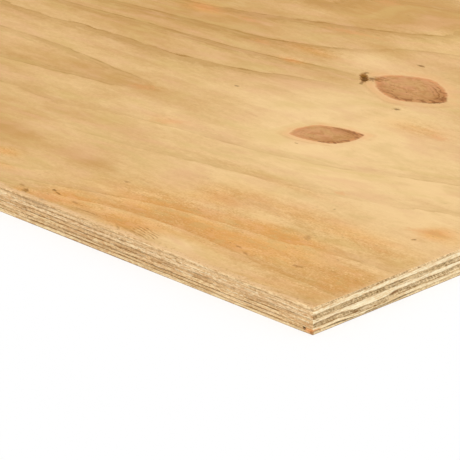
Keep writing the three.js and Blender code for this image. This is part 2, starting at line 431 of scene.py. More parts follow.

# %% [markdown]
# ## The figure of the face
#
# The face veneer is peeled from the log like paper from a roll. The blade runs almost along the
# growth rings, so each ring that it crosses shows as a broad band with a contour line for its
# edge: pale early wood that slowly darkens to late wood, then an abrupt step back to pale.
#
# A contour map needs a height. Here the height counts growth rings: it has a whole number on every
# contour line. A few lines beside the show corner are laid down point by point.
# Everywhere else the height is a long ridge with slow waves, and the listed lines bend it where
# they pass. The height is worked out once for every point of the face and kept as an attribute of
# the mesh, so the material only has to read it.

# %% Growth lines beside the show corner
# Each line has its ring number and its points: from_end and from_side in mm.
GROWTH_LINES = [
    (0.5, [(470, 198), (420, 200)]),
    (1.0, [(470, 175), (420, 185), (370, 197), (338, 207), (370, 209), (415, 215), (470, 222)]),
    (1.1, [(290, 222), (240, 200), (150, 235), (80, 260)]),
    (2.0, [
        (470, 134), (430, 137), (370, 141), (330, 148), (300, 155), (260, 163), (220, 166),
        (190, 168),
    ]),
    (2.0, [(165, 175), (145, 185), (115, 198), (80, 210), (40, 222)]),
    (3.0, [
        (420, 97), (380, 102), (340, 105), (300, 110), (250, 118), (210, 126), (175, 130),
        (140, 137),
    ]),
    (3.0, [(120, 145), (95, 152), (70, 160), (30, 170), (0, 176)]),
    (3.5, [
        (450, 62), (400, 62), (350, 63), (300, 66), (260, 76), (220, 86), (170, 93), (100, 98),
        (40, 106),
    ]),
    (4.0, [(340, 12), (300, 16), (262, 24), (240, 32), (215, 41), (200, 47), (185, 50), (165, 54)]),
    (4.0, [(140, 57), (115, 61), (90, 64), (65, 66), (30, 70), (0, 74)]),
    (5.0, [
        (250, 14), (225, 21), (210, 27), (195, 31), (170, 32), (150, 31), (125, 30), (100, 29),
        (70, 27),
    ]),
    (5.0, [(40, 24), (0, 22)]),
    (6.0, [(230, 9), (210, 7), (190, 3), (160, -3), (60, -8)]),
    (2.0, [
        (575, 263), (548, 264), (518, 266), (494, 266), (470, 267), (430, 268), (400, 273),
        (350, 278), (320, 286), (290, 298), (270, 310),
    ]),
    (3.0, [
        (502, 302), (481, 303), (455, 305), (430, 307), (400, 311), (360, 314), (330, 318),
        (315, 322),
    ]),
    (4.0, [
        (470, 332), (440, 335), (400, 340), (370, 347), (350, 353), (330, 362), (315, 371),
        (300, 385), (283, 398), (262, 412),
    ]),
    (5.0, [
        (470, 368), (420, 380), (400, 390), (370, 402), (350, 409), (330, 415), (310, 424),
        (297, 438), (285, 452), (270, 470),
    ]),
]
LINE_REACH = (110, 34)
print(len(GROWTH_LINES), "growth lines laid by hand")

# %% The open ridge
LAID_BY_HAND = 380
RIDGE = {"from_side": 205, "sway": 90, "half_crest": 30, "ring_width": 41}
SLOW_WAVE, QUICK_WAVE = 2.3, 0.7
CALM = 0.12


def open_ridge(from_end, from_side, seed=0.0):
    """The ring count away from the listed lines: a long ridge with slow waves."""
    place = Vector((from_end / 760, from_side / 150, seed))
    waves = SLOW_WAVE * noise.noise(place) + QUICK_WAVE * noise.noise(place * 2.6)
    away = max(0.0, min(1.0, max(from_end - LAID_BY_HAND, from_side - LAID_BY_HAND) / 250))
    sway = RIDGE["sway"] * away * noise.noise(Vector((from_end / 500, 4.2, seed)))
    from_ridge = math.hypot(from_side - (RIDGE["from_side"] + sway), RIDGE["half_crest"])
    return from_ridge / RIDGE["ring_width"] + (CALM + away) * waves


print("ring count at the show corner", round(open_ridge(0, 0), 2))


# %% Bend it to the listed lines
SOFTNESS = 0.01


class RingCount:
    """The open ridge, bent so that it passes through the listed growth lines."""

    def __init__(self, lines):
        self.points = np.array([point for _, line in lines for point in line], float)
        rings = np.array([count for count, line in lines for _ in line])
        misses = rings - np.array([open_ridge(*point) for point in self.points])
        pulls = self.closeness(self.points) + SOFTNESS * np.eye(len(self.points))
        self.weights = np.linalg.solve(pulls, misses)

    def closeness(self, places):
        gaps = (places[:, None, :] - self.points[None, :, :]) / np.array(LINE_REACH)
        return np.exp(-0.5 * (gaps**2).sum(axis=2))

    def bend(self, places):
        return self.closeness(places) @ self.weights


ring_count = RingCount(GROWTH_LINES)
print("growth lines:", len(GROWTH_LINES), "through", len(ring_count.points), "points")

# %% [markdown]
# ## Knots
#
# A branch that was cut through by the blade is a knot. Knots sit in whorls, so they come in groups
# at the same distance along the sheet. Round a knot the growth lines are pushed aside. An oval
# would do for its outline, but the fibres that flow round it draw it out to a blunt point at
# either end, so it is a mixture of an oval and a lozenge.

# %% The knots of the face
# Each has its distances from the end edge and the side edge, half length, half width, heading in
# degrees, and skew, which is how far the outline's far side leans back along the heading.
FACE_KNOTS = [
    (224.9, 333.6, 34.9, 24.5, -3.8, 0.15), (202.8, 223.3, 24.9, 17.9, 42.3, 0.2),
    (236, 1085, 19, 14, -8, 0.1), (866, 655, 24, 16, 10, -0.2), (905, 748, 13, 9, -20, 0.1),
    (1545, 345, 27, 19, -6, 0.2), (1512, 1102, 15, 10, 8, -0.1), (2136, 830, 22, 15, -12, 0.15),
]
LOZENGE = 0.3
KNOT_PUSH = {"rings": 0.9, "softness": 2.2, "reach": 3}


def knot_distance(from_end, from_side, knot):
    """How far a place is from a knot's centre, where 1 is the knot's outline."""
    middle_end, middle_side, half_length, half_width, heading, skew = knot
    offset = Vector((middle_end - from_end, from_side - middle_side))
    offset.rotate(Matrix.Rotation(math.radians(-heading), 2))
    across = offset.y / half_width
    along = offset.x / half_length + skew * across
    return math.hypot(along, across) * (1 - LOZENGE) + (abs(along) + abs(across)) * LOZENGE


def knot_push(place, knot):
    """How many rings the growth is lifted by at a place beside a knot."""
    distance = knot_distance(*place, knot)
    return KNOT_PUSH["rings"] * math.exp(-(distance**2) / KNOT_PUSH["softness"])


def ring_counts(places, knots, bend, seed):
    """The ring counts of many places at once: the ridge, its bends, and a bump round each knot."""
    ring = np.array([open_ridge(*place, seed) for place in places])
    if bend:
        ring += bend(places)
    for knot in knots:
        near = np.abs(places - knot[:2]).max(axis=1) < KNOT_PUSH["reach"] * knot[2]
        ring[near] += [knot_push(place, knot) for place in places[near]]
    return ring


print(len(FACE_KNOTS), "knots on the face")

# %% [markdown]
# ## Broad changes of tone
#
# No two bands of the face have the same tone: there is a paler heart to one, warmer flames beside
# the long edge, and a stretch where the growth lines hardly show. Such changes are soft patches
# that are listed where they matter. Beyond them slow waves, drawn out along the grain, do
# the same.

# %% Patches beside the show corner
# Each has its distances from the end edge and the side edge, half length, half width, and strength.
PALE_PATCHES = [
    (120, 175, 150, 75, 0.42), (205, 285, 90, 70, 0.24), (246, 255, 24, 40, 0.25),
    (288, 354, 22, 24, 0.32), (455, 350, 120, 85, -0.46), (340, 415, 40, 22, -0.24),
    (400, 202, 70, 11, -0.34), (400, 95, 44, 26, -0.35), (360, 465, 90, 34, -0.8),
    (212, 272, 10, 26, -0.3), (372, 108, 16, 6, -0.3), (350, 66, 36, 16, -0.35),
    (70, 85, 70, 30, 0.12), (180, 190, 25, 12, 0.25), (330, 128, 70, 14, -0.25),
    (300, 165, 30, 14, 0.2), (295, 388, 22, 7, -0.3), (292, 314, 30, 13, -0.3),
    (335, 343, 28, 9, -0.4), (290, 378, 20, 10, -0.3), (470, 185, 40, 40, -0.3),
    (160, 135, 60, 6, -0.25), (305, 440, 30, 20, 0.25), (280, 72, 24, 6, -0.35),
    # the flames beside the long edge: pale bands, and browner ones between them
    (225, 46, 14, 5, 0.3), (200, 60, 16, 5, 0.3), (165, 71, 22, 6, 0.3), (124, 83, 14, 7, 0.55),
    (170, 27, 28, 4, 0.45), (202, 22, 12, 5, 0.3), (180, 12, 18, 7, -0.5), (130, 18, 26, 12, 0.35),
    (75, 14, 22, 8, 0.25), (182, 55, 20, 5, -0.25), (90, 70, 28, 6, -0.55),
    (165, 37, 32, 3.5, -0.3), (15, 45, 18, 18, -0.25), (50, 40, 10, 6, -0.25),
    (110, 102, 60, 12, -0.3), (160, 95, 14, 16, -0.25), (240, 54, 16, 5, -0.2),
    (20, 88, 20, 8, -0.15), (22, 70, 24, 8, 0.3), (455, 355, 20, 8, -0.3),
    (405, 432, 30, 10, -0.35), (250, 262, 18, 26, -0.15), (464, 362, 22, 10, -0.35),
    (419, 365, 22, 8, -0.3), (375, 334, 20, 8, -0.2), (372, 462, 30, 12, -0.2),
    (283, 166, 12, 5, 0.25), (355, 77, 22, 7, -0.3),
]
WARM_PATCHES = [
    (120, 52, 105, 28, 0.5), (182, 50, 40, 18, 0.5), (90, 70, 34, 9, 0.6), (172, 90, 20, 16, 0.3),
    (185, 14, 22, 9, 0.6), (15, 45, 20, 20, 0.5), (235, 20, 25, 12, 0.7), (110, 42, 45, 10, 0.3),
    (28, 140, 9, 11, 0.5), (166, 275, 26, 13, 0.5), (40, 96, 40, 12, 0.3), (165, 136, 60, 7, 0.25),
    (328, 319, 14, 5, 0.6), (358, 207, 16, 5, 0.3), (462, 360, 26, 10, 0.6), (300, 165, 18, 9, 0.3),
    (268, 6, 8, 5, 1.1), (30, 15, 40, 20, 0.3), (100, 104, 80, 18, 0.35), (170, 25, 44, 12, 0.3),
    (15, 140, 20, 14, 0.3), (250, 262, 30, 34, -0.3), (90, 40, 100, 40, 0.12),
    (300, 440, 120, 50, 0.12), (335, 345, 28, 9, 0.5), (130, 14, 24, 9, -0.3),
    (245, 10, 22, 9, 0.35), (332, 46, 12, 6, 0.7), (314, 27, 14, 5, 0.35),
]
FIGURE_PATCHES = [
    (400, 300, 150, 120, 0.6), (300, 160, 90, 22, -0.05), (225, 300, 75, 110, -0.60),
    (110, 300, 110, 100, -0.45), (340, 60, 90, 50, -0.4), (400, 400, 90, 60, 0.3),
    (285, 362, 30, 22, -0.7), (390, 103, 50, 14, -0.5), (5, 105, 32, 26, -0.6),
    (350, 146, 70, 12, -0.3), (100, 155, 60, 12, -0.35), (300, 432, 60, 16, 0.4),
    (540, 264, 90, 14, 0.6), (350, 205, 60, 22, -0.35), (60, 40, 60, 36, -0.2),
]


def in_patches(places, patches):
    """The sum of soft-edged patches at many places at once."""
    total = np.zeros(len(places))
    for from_end, from_side, half_length, half_width, strength in patches:
        gap = (places - (from_end, from_side)) / (half_length, half_width)
        total += strength * np.exp(-(gap**2).sum(axis=1))
    return total


print(len(PALE_PATCHES) + len(WARM_PATCHES) + len(FIGURE_PATCHES), "patches laid by hand")

# %% Keep the figure on the mesh
WIDEST_RING = 90
OWN_TONES_REACH, OWN_TONES_FADE = 470, 300


def slow_waves(places, wave_length, wave_width, seed):
    points = [Vector((u / wave_length, v / wave_width, seed)) for u, v in places]
    return np.array([noise.noise(point) for point in points])


def draw_figure(bm, knots, pale, warm, figure, bend=None, seed=0.0):
    """Keeps the ring count and the tones of a broad side as attributes of its points."""
    corner_x, corner_y = LENGTH / 2, -WIDTH / 2
    places = np.array([((corner_x - v.co.x) / MM, (v.co.y - corner_y) / MM) for v in bm.verts])
    ring = ring_counts(places, knots, bend, seed)
    slope = [ring_counts(places + step, knots, bend, seed) - ring for step in ((1, 0), (0, 1))]
    slow, slower = slow_waves(places, 420, 95, 6 + seed), slow_waves(places, 900, 210, 8 + seed)
    away = np.clip((places.max(axis=1) - OWN_TONES_REACH) / OWN_TONES_FADE, 0, 1)
    tones = {
        "ring": ring,
        "spacing": 1 / np.maximum(np.hypot(*slope), 1 / WIDEST_RING),
        "pale": 0.5 - 0.2 * away + 0.25 * slow + in_patches(places, pale),
        "warm": 0.12 + 0.35 * np.maximum(slower, 0) + in_patches(places, warm),
        "figure": 0.75 + 0.5 * slower + in_patches(places, figure),
    }
    for name, values in tones.items():
        layer = bm.verts.layers.float.new(name)
        for vert, value in zip(bm.verts, values):
            vert[layer] = value
        print(f"{name}: {values.min():.2f} to {values.max():.2f}")


# %% [markdown]
# ## The relief of the face
#
# The face is sanded, so nearly all of it is flat. What the sander can't reach stays: the pit of a
# bark pocket at the tip of the large knot, and some fibres torn out beside the long edge. Knots
# are harder than the wood round them and shrink more, so they lie a little low, with a fine crack
# at the rim. The low places are real steps in the mesh, because light from the side has to catch
# them. The mesh is divided more finely only where they are.

# %% The bark pocket
BARK_POCKET = {
    "from_end": 266, "from_side": 328, "length": 19, "width": 6, "heading": 135,
    "depth": 1, "wall": 0.45,
}


def from_flaw(from_end, from_side, flaw):
    """A place as seen from a flaw: along its heading and across it, in mm."""
    offset = Vector((flaw["from_end"] - from_end, from_side - flaw["from_side"]))
    offset.rotate(Matrix.Rotation(math.radians(-flaw["heading"]), 2))
    return offset.x, offset.y


def pocket_depth(from_end, from_side):
    """Depth of the pocket, which has a ragged outline and a sloping wall."""
    along, across = from_flaw(from_end, from_side, BARK_POCKET)
    ragged = 0.35 * noise.noise(Vector((from_end, from_side, 1)) / 2.5)
    edge = math.hypot(along / BARK_POCKET["length"], across / BARK_POCKET["width"]) * 2 + ragged
    return BARK_POCKET["depth"] * max(0.0, min(1.0, (1.1 - edge) / BARK_POCKET["wall"]))


middle_depth = pocket_depth(BARK_POCKET["from_end"], BARK_POCKET["from_side"])
print(f"the bark pocket is {middle_depth:.1f} mm deep")

# %% Torn fibres
TORN_FIBRES = {
    "from_end": 158, "from_side": 11.5, "length": 32, "count": 5, "spacing": 2.4, "heading": -12,
    "depth": 0.4, "lifted": 0.14,
}


def torn_depth(from_end, from_side):
    """Grooves where fibres are torn out. The lifted fibres between them have negative depths."""
    along, across = from_flaw(from_end, from_side, TORN_FIBRES)
    strip = across / TORN_FIBRES["spacing"] + 0.5 * noise.noise(Vector((along / 9, across / 9, 4)))
    half_count = TORN_FIBRES["count"] / 2
    uneven = math.sin(7 * math.floor(strip + half_count))
    half_length = TORN_FIBRES["length"] * (0.38 + 0.16 * uneven)
    if abs(strip) > half_count or abs(along) > half_length:
        return 0.0
    groove = 1 - abs((strip + half_count) % 1 - 0.5) * 2
    unevenly = 0.75 + noise.noise(Vector((along / 4, across, 7)))
    strength = (1 - (along / half_length) ** 4) * unevenly
    torn = TORN_FIBRES["depth"] * max(0.0, groove * 1.7 - 0.7)
    lifted = TORN_FIBRES["lifted"] * max(0.0, 1 - groove * 3)
    return strength * (torn - lifted)


torn_there = [torn_depth(TORN_FIBRES["from_end"], n / 10) for n in range(200)]
print(f"torn fibres: depth from {min(torn_there):.2f} to {max(torn_there):.2f} mm")

# %% Sunk knots
KNOT_SUNK, KNOT_LUMPS, RIM_CRACK = 0.1, 0.06, 0.1


def face_depth(from_end, from_side):
    """How far the face lies below the sanded plane, in mm."""
    depth = pocket_depth(from_end, from_side) + torn_depth(from_end, from_side)
    for knot in FACE_KNOTS:
        if abs(from_end - knot[0]) < 60 and abs(from_side - knot[1]) < 60:
            distance = knot_distance(from_end, from_side, knot)
            lumps = KNOT_LUMPS * noise.noise(Vector((from_end, from_side, 2)) / 5)
            depth += (KNOT_SUNK + lumps) * max(0.0, min(1.0, (1.04 - distance) / 0.08))
            depth += RIM_CRACK * math.exp(-(((distance - 1) / 0.03) ** 2))
    return depth


print(f"the middle of the first knot lies {face_depth(*FACE_KNOTS[0][:2]):.2f} mm low")


# %% The face
NEAR_REACH, NEAR_STEP, FAR_STEP = 480, 4, 12


def refine(bm, cuts, from_end, from_side, reach_end, reach_side):
    """Divides the faces of a broad side round a place."""
    middle = on_sheet(from_end, from_side)
    close = {
        vert for vert in bm.verts
        if abs(vert.co.x - middle.x) < reach_end * MM
        and abs(vert.co.y - middle.y) < reach_side * MM
    }
    edges = [edge for edge in bm.edges if close.issuperset(edge.verts)]
    bmesh.ops.subdivide_edges(bm, edges=edges, cuts=cuts, use_grid_fill=True)


bm = grid_plate([(NEAR_REACH, NEAR_STEP), (math.inf, FAR_STEP)])
border = [edge for edge in bm.edges if edge.is_boundary and edge.calc_length() < FAR_STEP / 2 * MM]
for from_end, from_side, half_length, *_ in FACE_KNOTS:
    cuts = 1 if from_end < NEAR_REACH else 3
    refine(bm, cuts, from_end, from_side, half_length * 1.15, half_length * 1.1)
refine(bm, 2, BARK_POCKET["from_end"], BARK_POCKET["from_side"], 14, 13)
refine(bm, 7, TORN_FIBRES["from_end"], TORN_FIBRES["from_side"] + 0.5, 20, 10)
still_border = [edge for edge in border if edge.is_valid and edge.is_boundary]
bmesh.ops.subdivide_edges(bm, edges=still_border, cuts=4)
thicken(bm, plate_height=1)
settle(bm, "face_veneer")
draw_figure(bm, FACE_KNOTS, PALE_PATCHES, WARM_PATCHES, FIGURE_PATCHES, ring_count.bend)
for vert in bm.verts:
    if vert.co.z > THICKNESS - FLUSH:
        vert.co.z -= face_depth((LENGTH / 2 - vert.co.x) / MM, (vert.co.y + WIDTH / 2) / MM) * MM
pieces["face_veneer"] = make_piece(bm, "face_veneer")

# %% [markdown]
# ## The back
#
# The back is the same kind of veneer in a lower grade, so it has more knots. It has no relief of
# its own, so one coarse grid is enough to carry its figure.

# %% The back
BACK_KNOTS = [
    (310, 260, 24, 17, 10, 0.1), (345, 820, 17, 12, -14, -0.2), (880, 420, 30, 21, 5, 0.2),
    (925, 1010, 20, 14, -8, 0.1), (1410, 150, 18, 13, 12, -0.1), (1466, 720, 26, 18, -6, 0.2),
    (1980, 480, 21, 15, 15, 0), (2040, 930, 31, 21, -4, -0.2), (2010, 1120, 12, 9, 0, 0),
    (905, 560, 10, 8, 0, 0.1),
]
bm = grid_plate([(math.inf, FAR_STEP)])
thicken(bm, plate_height=0)
settle(bm, "back_veneer")
draw_figure(bm, BACK_KNOTS, [], [], [], seed=3.0)
pieces["back_veneer"] = make_piece(bm, "back_veneer")

# %% [markdown]
# ## A notebook for shader sums
#
# Wood is made by adding up many soft patterns. Node by node that is hard to read, so a small class
# wraps a socket: sums on it read as sums, and each one adds the Math node that does it. Its last
# few methods are the tools of this material: a soft step, a soft pattern, and moving one colour
# towards another where a pattern says so.

# %% The shader notebook
class Wire:
    """A socket of a material. Arithmetic on it adds Math nodes."""

    def __init__(self, tree, socket=None):
        self.tree, self.socket = tree, socket

    def node(self, kind, settings=None, inputs=None, output=0):
        """Adds any node: its settings first, then a value or a link for each socket."""
        node = self.tree.nodes.new(kind)
        for name, value in (settings or {}).items():
            setattr(node, name, value)
        for name, value in (inputs or {}).items():
            if isinstance(value, Wire):
                self.tree.links.new(value.socket, node.inputs[name])
            else:
                node.inputs[name].default_value = value
        return Wire(self.tree, node.outputs[output])

    def maths(self, operation, *others):
        inputs = dict(enumerate((self, *others)))
        return self.node("ShaderNodeMath", {"operation": operation}, inputs)

    def __add__(self, other):
        return self.maths("ADD", other)

    def __mul__(self, other):
        return self.maths("MULTIPLY", other)

    def __sub__(self, other):
        return self.maths("SUBTRACT", other)

    def __rsub__(self, other):
        return self.node("ShaderNodeMath", {"operation": "SUBTRACT"}, {0: other, 1: self})

    def __truediv__(self, other):
        return self.maths("DIVIDE", other)

    __radd__ = __add__
    __rmul__ = __mul__

    def vector_maths(self, operation, *others, output="Vector"):
        inputs = dict(enumerate((self, *others)))
        return self.node("ShaderNodeVectorMath", {"operation": operation}, inputs, output)

    def length(self):
        return self.vector_maths("LENGTH", output="Value")

    def parts(self):
        """The X, Y and Z of a place."""
        apart = self.node("ShaderNodeSeparateXYZ", {}, {"Vector": self}).socket.node
        return [Wire(self.tree, output) for output in apart.outputs]

    def at(self, x, y, z=0.0):
        """A place made of three values."""
        return self.node("ShaderNodeCombineXYZ", {}, {"X": x, "Y": y, "Z": z})

    def blend(self, amount, first, second):
        """The first colour where amount is 0, the second where it is 1."""
        inputs = {0: amount, 6: first, 7: second}
        return self.node("ShaderNodeMix", {"data_type": "RGBA"}, inputs, 2)

    def rise(self, start, end):
        """0 before start, 1 after end, a smooth step between. It falls if start is the larger."""
        settings = {"interpolation_type": "SMOOTHSTEP"}
        inputs = {"Value": self, "From Min": start, "From Max": end}
        return self.node("ShaderNodeMapRange", settings, inputs)

    def patches(self, size, seed=0.0, detail=2.0):
        """A soft pattern of 0 to 1 on a place. size is that of a patch along X, Y and Z in mm."""
        location, scale = (seed, seed * 2, seed * 3), tuple(1 / (mm * MM) for mm in size)
        inputs = {"Vector": self, "Location": location, "Scale": scale}
        place = self.node("ShaderNodeMapping", {}, inputs)
        inputs = {"Vector": place, "Scale": 1.0, "Detail": detail, "Roughness": 0.6}
        return self.node("ShaderNodeTexNoise", {}, inputs, "Fac")

    def towards(self, other, amount):
        """This colour, moved part of the way to another."""
        return self.blend(amount, self, other)

    def sway(self, pattern, *tones):
        """This colour, moved to each tone where the pattern goes from its start to its end."""
        wood = self
        for tone, start, end, amount in tones:
            wood = wood.towards(tone, pattern.rise(start, end) * amount)
        return wood


def colour(red, green, blue):
    """A colour as a screen shows it, 0 to 255, turned into a shader's linear values."""
    shares = (red / 255, green / 255, blue / 255)
    linear = (v / 12.92 if v <= 0.04045 else ((v + 0.055) / 1.055) ** 2.4 for v in shares)
    return (*linear, 1.0)


def read(shader, attribute):
    """An attribute of the mesh, as a value."""
    return shader.node("ShaderNodeAttribute", {"attribute_name": attribute}, {}, "Fac")


print("mid grey is", round(colour(128, 128, 128)[0], 3), "to a shader")

# %% [markdown]
# ## Wood on the sawn edges
#
# An edge shows two kinds of wood. Side grain is pale and smooth, with long streaks. End grain is
# darker, because its pores are cut open and hold shadow and dust, and it has the fine slanting
# checks that the peeling lathe leaves. Each ply shows one kind on the long edges and the other on
# the short ones. Plies seldom come from one log, so each has its own four colours.

# %% Colours of the edges
# ply: side grain light, side grain dark, end grain light, end grain dark
EDGE_COLOURS = {
    "face_veneer": ((255, 223, 170), (203, 156, 104), (255, 223, 172), (152, 117, 73)),
    "crossband_1": ((255, 242, 204), (229, 192, 141), (255, 222, 172), (196, 146, 88)),
    "centre_1": ((255, 229, 182), (213, 162, 108), (231, 200, 151), (125, 96, 54)),
    "crossband_2": ((255, 244, 208), (235, 202, 153), (247, 208, 153), (168, 119, 68)),
    "centre_2": ((255, 227, 174), (205, 152, 99), (245, 216, 168), (137, 106, 62)),
    "crossband_3": ((255, 237, 196), (225, 192, 141), (255, 221, 168), (188, 141, 84)),
    "back_veneer": ((255, 233, 184), (209, 164, 112), (255, 235, 190), (198, 164, 114)),
}
GLUE_AND_SHADE_BROWN, MARK_BROWN, HOLLOW_BROWN = colour(130, 86, 30), colour(126, 78, 24), colour(54, 30, 12)
AMBER, PORE_BROWN, BRIGHT = colour(240, 150, 80), colour(134, 90, 46), colour(255, 232, 192)
print(len(EDGE_COLOURS), "plies with four colours each")

CHECKED = {"face_veneer": 0.4, "centre_1": 0.36, "centre_2": 0.4, "back_veneer": 0.36}
CHECKED_LITTLE = 0.12


def ply_seed(ply):
    """A number that makes the patterns of each ply its own."""
    return 3.1 * PLIES.index(ply)


def sawn_grain(shader, place, ply, end_grain):
    """The colour and relief of a ply's edge as the saw leaves it."""
    seed = ply_seed(ply)
    side_light, side_dark, end_light, end_dark = (colour(*c) for c in EDGE_COLOURS[ply])
    streaks = place.patches((26, 26, 0.6), seed, 3.0).rise(0.34, 0.66)
    flecks = place.patches((3.2, 3.2, 0.9), seed + 5, 2.0).rise(0.41, 0.59)
    side = shader.blend(streaks * 0.45 + flecks * 0.55, side_light, side_dark)
    # rings and torn pores of the end grain: the rings lie nearly level in a peeled veneer
    x, y, z = place.parts()
    slant = shader.at(x + y + z * 0.7, z * 0.35)
    checks = slant.patches((1.6, 1.6, 1.6), seed, 2.0).rise(0.4, 0.6)
    layers = place.patches((22, 22, 0.7), seed + 9, 2.0).rise(0.34, 0.66)
    pores = place.patches((1.9, 1.9, 0.8), seed + 2, 2.0).rise(0.41, 0.59)
    torn = layers * 0.34 + checks * CHECKED.get(ply, CHECKED_LITTLE) + pores * 0.34
    wood = side.towards(shader.blend(torn, end_light, end_dark), end_grain)
    # the tone drifts along the edge, and threads of darker and of brighter fibres run in it
    dark = shader.blend(end_grain, side_dark, end_dark)
    light = shader.blend(end_grain, side_light, end_light)
    drift = place.patches((34, 34, 2.6), seed + 3, 2.0)
    wood = wood.sway(drift, (dark, 0.5, 0.72, 0.45), (light, 0.46, 0.28, 0.4))
    threads = place.patches((15, 15, 0.55), seed + 7, 1.0)
    wood = wood.sway(threads, (PORE_BROWN, 0.54, 0.74, 0.34), (BRIGHT, 0.47, 0.28, 0.5))
    return wood, torn * end_grain * -1.0 + streaks * 0.15


# %% [markdown]
# Each border between two plies has a brown line of glue, which is strong in one place and gone in
# the next, and tongues of the neighbour's fibres are smeared over it. The mesh knows how far every
# point is from the nearest glue line, so the line needs no geometry of its own. Knocks, stains,
# dirt and the painted shade of a hole are spots, listed for the two edges beside the show corner.

# %% Marks of the two edges beside the show corner
# For each edge: distance from the corner, height, half length and half height in mm, and strength.
EDGE_MARKS = {
    "long": [
        # the spot 7.5 mm from the corner and 1.9 mm up is painted shade of a hole beside the core
        # gap
        (1.0, 16.3, 1.6, 1.2, 0.5), (1.0, 1.0, 3.2, 1.4, 0.6), (7.5, 1.9, 1.3, 0.7, 0.8),
        (124, 9.2, 9, 0.6, 0.5), (119, 14.8, 1.2, 0.6, 0.5), (73, 16.8, 0.7, 0.9, 0.6),
        (49, 14.5, 0.5, 1.2, 0.35), (175, 8.3, 3.0, 0.7, 0.5), (173, 6.2, 0.8, 1.6, 0.3),
        (261, 9.5, 2.6, 1.1, 0.5), (250, 16.3, 22, 2.2, 0.35), (18, 10.0, 14, 0.7, 0.35),
        (160, 7.8, 16, 1.6, 0.2), (66, 4.7, 60, 0.45, 0.3), (70, 10.9, 66, 0.5, 0.25),
        (60, 2.0, 62, 0.4, 0.35), (205, 8.2, 72, 0.5, 0.6), (210, 11.1, 70, 0.45, 0.4),
        (205, 5.6, 66, 0.45, 0.45), (210, 3.0, 70, 0.5, 0.6), (210, 13.9, 72, 0.45, 0.5),
        (200, 0.1, 80, 0.6, 0.6), (215, 17.6, 70, 0.35, 0.3),
    ],
    "short": [
        (1.5, 11.4, 4.5, 1.4, 0.45), (72, 6.6, 5.0, 1.5, 0.7), (37, 4.2, 5.0, 1.1, 0.45),
        (16, 7.2, 12, 0.4, 0.35), (3, 2.3, 5.0, 0.8, 0.5), (72, 13.2, 10, 0.6, 0.4),
    ],
}
AMBER_MARKS = {"long": [(2.5, 2.0, 5.0, 1.8, 0.6)], "short": [(1.5, 2.9, 7.0, 0.8, 0.5)]}
MARK_REACH_IN = 1.5


def edge_marks(place, marks):
    """How strong the marks of the show corner's two edges are."""
    strongest = place.patches((9, 9, 9), 20.0).rise(2.0, 3.0)
    ragged = place.patches((2.5, 2.5, 2.5), 21.0, 2.0) - 0.5
    for edge, spots in marks.items():
        for along, height, half_length, half_height, strength in spots:
            if edge == "long":
                middle = on_sheet(along, 0, height * MM)
                size = (half_length, MARK_REACH_IN, half_height)
            else:
                middle = on_sheet(0, along, height * MM)
                size = (MARK_REACH_IN, half_length, half_height)
            shrink = Vector(1 / (part * MM) for part in size)
            seen = place.vector_maths("MULTIPLY_ADD", shrink, -middle * shrink)
            spot = seen.length() + ragged * 1.6
            strongest = strongest.maths("MAXIMUM", spot.rise(1.15, 0.4) * strength)
    return strongest


print({edge: len(spots) for edge, spots in EDGE_MARKS.items()}, "marks")

# %% Edge wood
# How dark the glue line shows on the ply's own side of it.
GLUE_SHOWS = {
    "face_veneer": 0.55, "crossband_1": 0.35, "centre_1": 0.7, "centre_2": 0.75, "back_veneer": 0.5,
}


def sheet_edges(place):
    """The height, the distance in from the nearest edge in mm, and 1 where that is a short edge."""
    x, y, z = place.parts()
    from_end = LENGTH / 2 - x.maths("ABSOLUTE")
    from_side = WIDTH / 2 - y.maths("ABSOLUTE")
    short_edge = from_end.maths("LESS_THAN", from_side)
    return z, from_end.maths("MINIMUM", from_side) / MM, short_edge


def edge_wood(shader, place, ply):
    """The colour and relief of a ply's sawn edge, with glue, marks and painted shade at its base.
    """
    seed = ply_seed(ply)
    z, inward, short_edge = sheet_edges(place)
    end_grain = short_edge if ply in LONG_GRAIN_PLIES else 1 - short_edge
    wood, relief = sawn_grain(shader, place, ply, end_grain)
    # fibres of the neighbour lie smeared over the border, in ragged tongues
    from_glue = read(shader, "from_glue")
    tongues = place.patches((5, 5, 5), seed + 6, 2.0).rise(0.42, 0.66)
    smear = (from_glue + tongues * -0.7).rise(0.1, -0.3)
    side_light, _, _, end_dark = (colour(*c) for c in EDGE_COLOURS[ply])
    wood = wood.towards(shader.blend(end_grain, end_dark, side_light), smear * 0.5)
    glue_patches = place.patches((24, 24, 9), seed + 4, 3.0).rise(0.4, 0.6)
    glue = from_glue.rise(0.46, 0.1) * (0.1 + 0.85 * glue_patches) * (0.5 + 0.45 * end_grain)
    wood = wood.towards(GLUE_AND_SHADE_BROWN, glue * GLUE_SHOWS.get(ply, 1.0))
    dents = place.patches((5, 5, 2.4), seed + 8, 1.0).rise(0.72, 0.8)
    wood = wood.towards(AMBER, edge_marks(place, AMBER_MARKS))
    wood = wood.towards(MARK_BROWN, edge_marks(place, EDGE_MARKS).maths("MAXIMUM", dents * 0.6))
    # painted contact shade darkens the lowest 0.6 mm of the edge, where the sheet meets the floor
    foot = z.rise(0.6 * MM, 0.2 * MM) * (0.3 + 0.4 * glue_patches + 0.35 * short_edge)
    wood = wood.towards(GLUE_AND_SHADE_BROWN, foot)
    if ply == CORE_GAP["ply"]:
        # no light reaches the end of the open gap
        wood = wood.towards(HOLLOW_BROWN, inward.rise(0.75, 1.3))
    return wood, relief - dents


# %% [markdown]
# ## Wood on the broad sides
#
# A sanded pine face is honey coloured, and it is never one colour: bands of late wood, flames
# where the blade met a ring at a slant, faint pink and green casts, and resin in fine lines. All
# of it flows with the grain. So the material is a stack of thin glazes, as a painter of false wood
# would lay them: a ground of cream and tan first, then the growth lines, the casts and the flames,
# and the knots last.
#
# Every glaze is a soft pattern with a size along the grain and a much smaller one across it. The
# patterns are pushed aside beside a knot, as the real fibres are.

